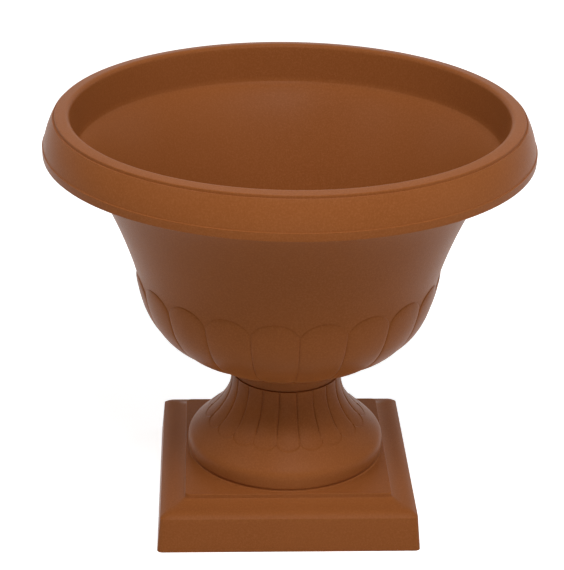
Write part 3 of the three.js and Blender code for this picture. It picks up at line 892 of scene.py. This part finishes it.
def black_rubber(name):
    """Soft black rubber with a dusty bloom."""
    n = Nodes(name)
    bloom = n.noise(300.0, 4.0, 0.6)
    dusty = n.spread(bloom, "Fac", 0.4, 0.7, 0.0, 1.0)
    base = n.mixed(dusty, "Result", RUBBER_CLEAN, RUBBER_DUSTY)
    n.tree.links.new(base, n.shader.inputs["Base Color"])
    n.link(n.spread(bloom, "Fac", 0.3, 0.7, 0.7, 0.85), "Result", n.shader, "Roughness")
    n.link(n.bump(bloom, "Fac", 0.2, 0.0002), "Normal", n.shader, "Normal")
    return n.material


# ---------------------------------------------------------------- studio

def add_camera():
    """The photograph's viewpoint, solved from the rim, bead, plate and plinth edges."""
    distance, height = 1.484300752, 0.853441855
    pan, tilt, roll = -0.0031, 0.4185, 0.0154
    plinth_turn = 0.0457
    focal_pixels, frame_pixels = 1936.6, 570
    sensor_width = 36
    forward = Vector((math.sin(pan) * math.cos(tilt), math.cos(pan) * math.cos(tilt), -math.sin(tilt)))
    right = Vector((math.cos(pan), -math.sin(pan), 0))
    up = right.cross(forward)
    rolled_right = right * math.cos(roll) + up * math.sin(roll)
    rolled_up = up * math.cos(roll) - right * math.sin(roll)
    pose = Matrix((rolled_right, rolled_up, -forward)).transposed().to_4x4()
    pose.translation = Vector((0, -distance, height))
    camera = bpy.data.objects.new("camera", bpy.data.cameras.new("camera"))
    camera.matrix_world = Matrix.Rotation(-plinth_turn, 4, "Z") @ pose
    camera.data.sensor_width = sensor_width
    camera.data.lens = focal_pixels * sensor_width / frame_pixels
    camera.data.clip_start = 0.05
    bpy.context.scene.collection.objects.link(camera)
    bpy.context.scene.camera = camera


LIGHT_TARGET = (0, 0, 0.15)
STUDIO_LIGHTS = [
    ("front_top", (0, -1.2, 1.98), 0.6, 17.5),
    ("front_right", (0.7, -1.2, 1.9), 0.8, 9.5),
    ("left_top", (-1.4, -0.7, 1.7), 1.0, 10),
    ("right_top", (1.4, -0.7, 1.7), 1.0, 4),
    ("crown", (0, -0.45, 2.25), 0.4, 3.5),
    ("front_low", (0, -1.8, 0.4), 0.6, 2.0),
    ("right_low", (1.4, -0.6, 0.5), 0.8, 2.2),
    ("back_top", (0, 1.4, 2.0), 1.0, 6),
    ("back_left", (-1.7, 0.7, 1.3), 1.0, 4),
    ("back_right", (1.7, 0.7, 1.3), 1.0, 4),
]


def add_area_light(name, place, size, power):
    """A round lamp turned to the middle of the object, and not seen by the camera itself."""
    lamp = bpy.data.lights.new(name, "AREA")
    lamp.shape = "DISK"
    lamp.size = size
    lamp.energy = power
    light = bpy.data.objects.new(name, lamp)
    light.location = place
    light.visible_camera = False
    light.rotation_euler = (Vector(LIGHT_TARGET) - Vector(place)).to_track_quat("-Z", "Y").to_euler()
    bpy.context.scene.collection.objects.link(light)


FLOOR_REACH = 8.0
FLOOR_GLOW = 0.72
FLOOR_GLOW_NEAR, FLOOR_GLOW_FAR = 0.5, 2.0


def background_rays(tree):
    """1 for the rays that show the background: to the camera, in gloss and through glass."""
    rays = tree.nodes.new("ShaderNodeLightPath")
    showing = rays.outputs["Is Camera Ray"]
    for name in ("Is Glossy Ray", "Is Transmission Ray"):
        either = tree.nodes.new("ShaderNodeMath")
        either.operation = "MAXIMUM"
        tree.links.new(showing, either.inputs[0])
        tree.links.new(rays.outputs[name], either.inputs[1])
        showing = either.outputs[0]
    return showing


def add_floor():
    """A white floor that keeps the object's shadow, and glows to plain white further out."""
    mesh = bpy.data.meshes.new("floor")
    corners = [(-1, -1), (1, -1), (1, 1), (-1, 1)]
    mesh.from_pydata([(x * FLOOR_REACH, y * FLOOR_REACH, 0) for x, y in corners], [], [(0, 1, 2, 3)])
    floor = bpy.data.objects.new("floor", mesh)
    bpy.context.scene.collection.objects.link(floor)
    n = Nodes("floor_white")
    n.shader.inputs["Base Color"].default_value = (0.8, 0.8, 0.8, 1.0)
    n.shader.inputs["Roughness"].default_value = 0.9
    n.shader.inputs["Specular IOR Level"].default_value = 0.0
    n.shader.inputs["Emission Color"].default_value = (1.0, 1.0, 1.0, 1.0)
    from_middle = n.add("ShaderNodeVectorMath", operation="LENGTH")
    n.link(n.place, "Object", from_middle, "Vector")
    glow = n.spread(from_middle, "Value", FLOOR_GLOW_NEAR, FLOOR_GLOW_FAR, FLOOR_GLOW, 1.0)
    shown = n.add("ShaderNodeMath", operation="MULTIPLY")
    n.tree.links.new(background_rays(n.tree), shown.inputs[0])
    n.tree.links.new(glow.outputs["Result"], shown.inputs[1])
    n.tree.links.new(shown.outputs[0], n.shader.inputs["Emission Strength"])
    floor.data.materials.append(n.material)


def add_world():
    """White where it shows, and no light of its own on the object."""
    world = bpy.data.worlds.new("studio")
    bpy.context.scene.world = world
    world.use_nodes = True
    background = world.node_tree.nodes["Background"]
    background.inputs["Color"].default_value = (1.0, 1.0, 1.0, 1.0)
    world.node_tree.links.new(background_rays(world.node_tree), background.inputs["Strength"])


# ---------------------------------------------------------------- assembly

add_camera()
add_world()
add_floor()
for lamp_settings in STUDIO_LIGHTS:
    add_area_light(*lamp_settings)

materials = {
    "terracotta_plastic": moulded_plastic("terracotta_plastic"),
    "zinc_steel": plated_steel("zinc_steel"),
    "black_rubber": black_rubber("black_rubber"),
}
pieces = [
    (make_bowl(), "bowl", "terracotta_plastic"),
    (make_pedestal(), "pedestal", "terracotta_plastic"),
    (make_bolt(), "centre_bolt", "zinc_steel"),
    (make_washer("rubber_seal", SEAL_RADIUS, SEAL_THICKNESS, SEAL_Z + SEAL_THICKNESS, SEAL_EDGE),
     "sealing_washer", "black_rubber"),
    (make_washer("steel_washer", WASHER_RADIUS, WASHER_THICKNESS, WASHER_TOP_Z, WASHER_EDGE),
     "clamp_washer", "zinc_steel"),
    (make_wing_nut(), "wing_nut", "zinc_steel"),
]
for piece, node, slot in pieces:
    piece.data.materials.append(materials[slot])
    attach(piece, "root")
    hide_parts(node)

bpy.context.scene.view_settings.view_transform = "Standard"
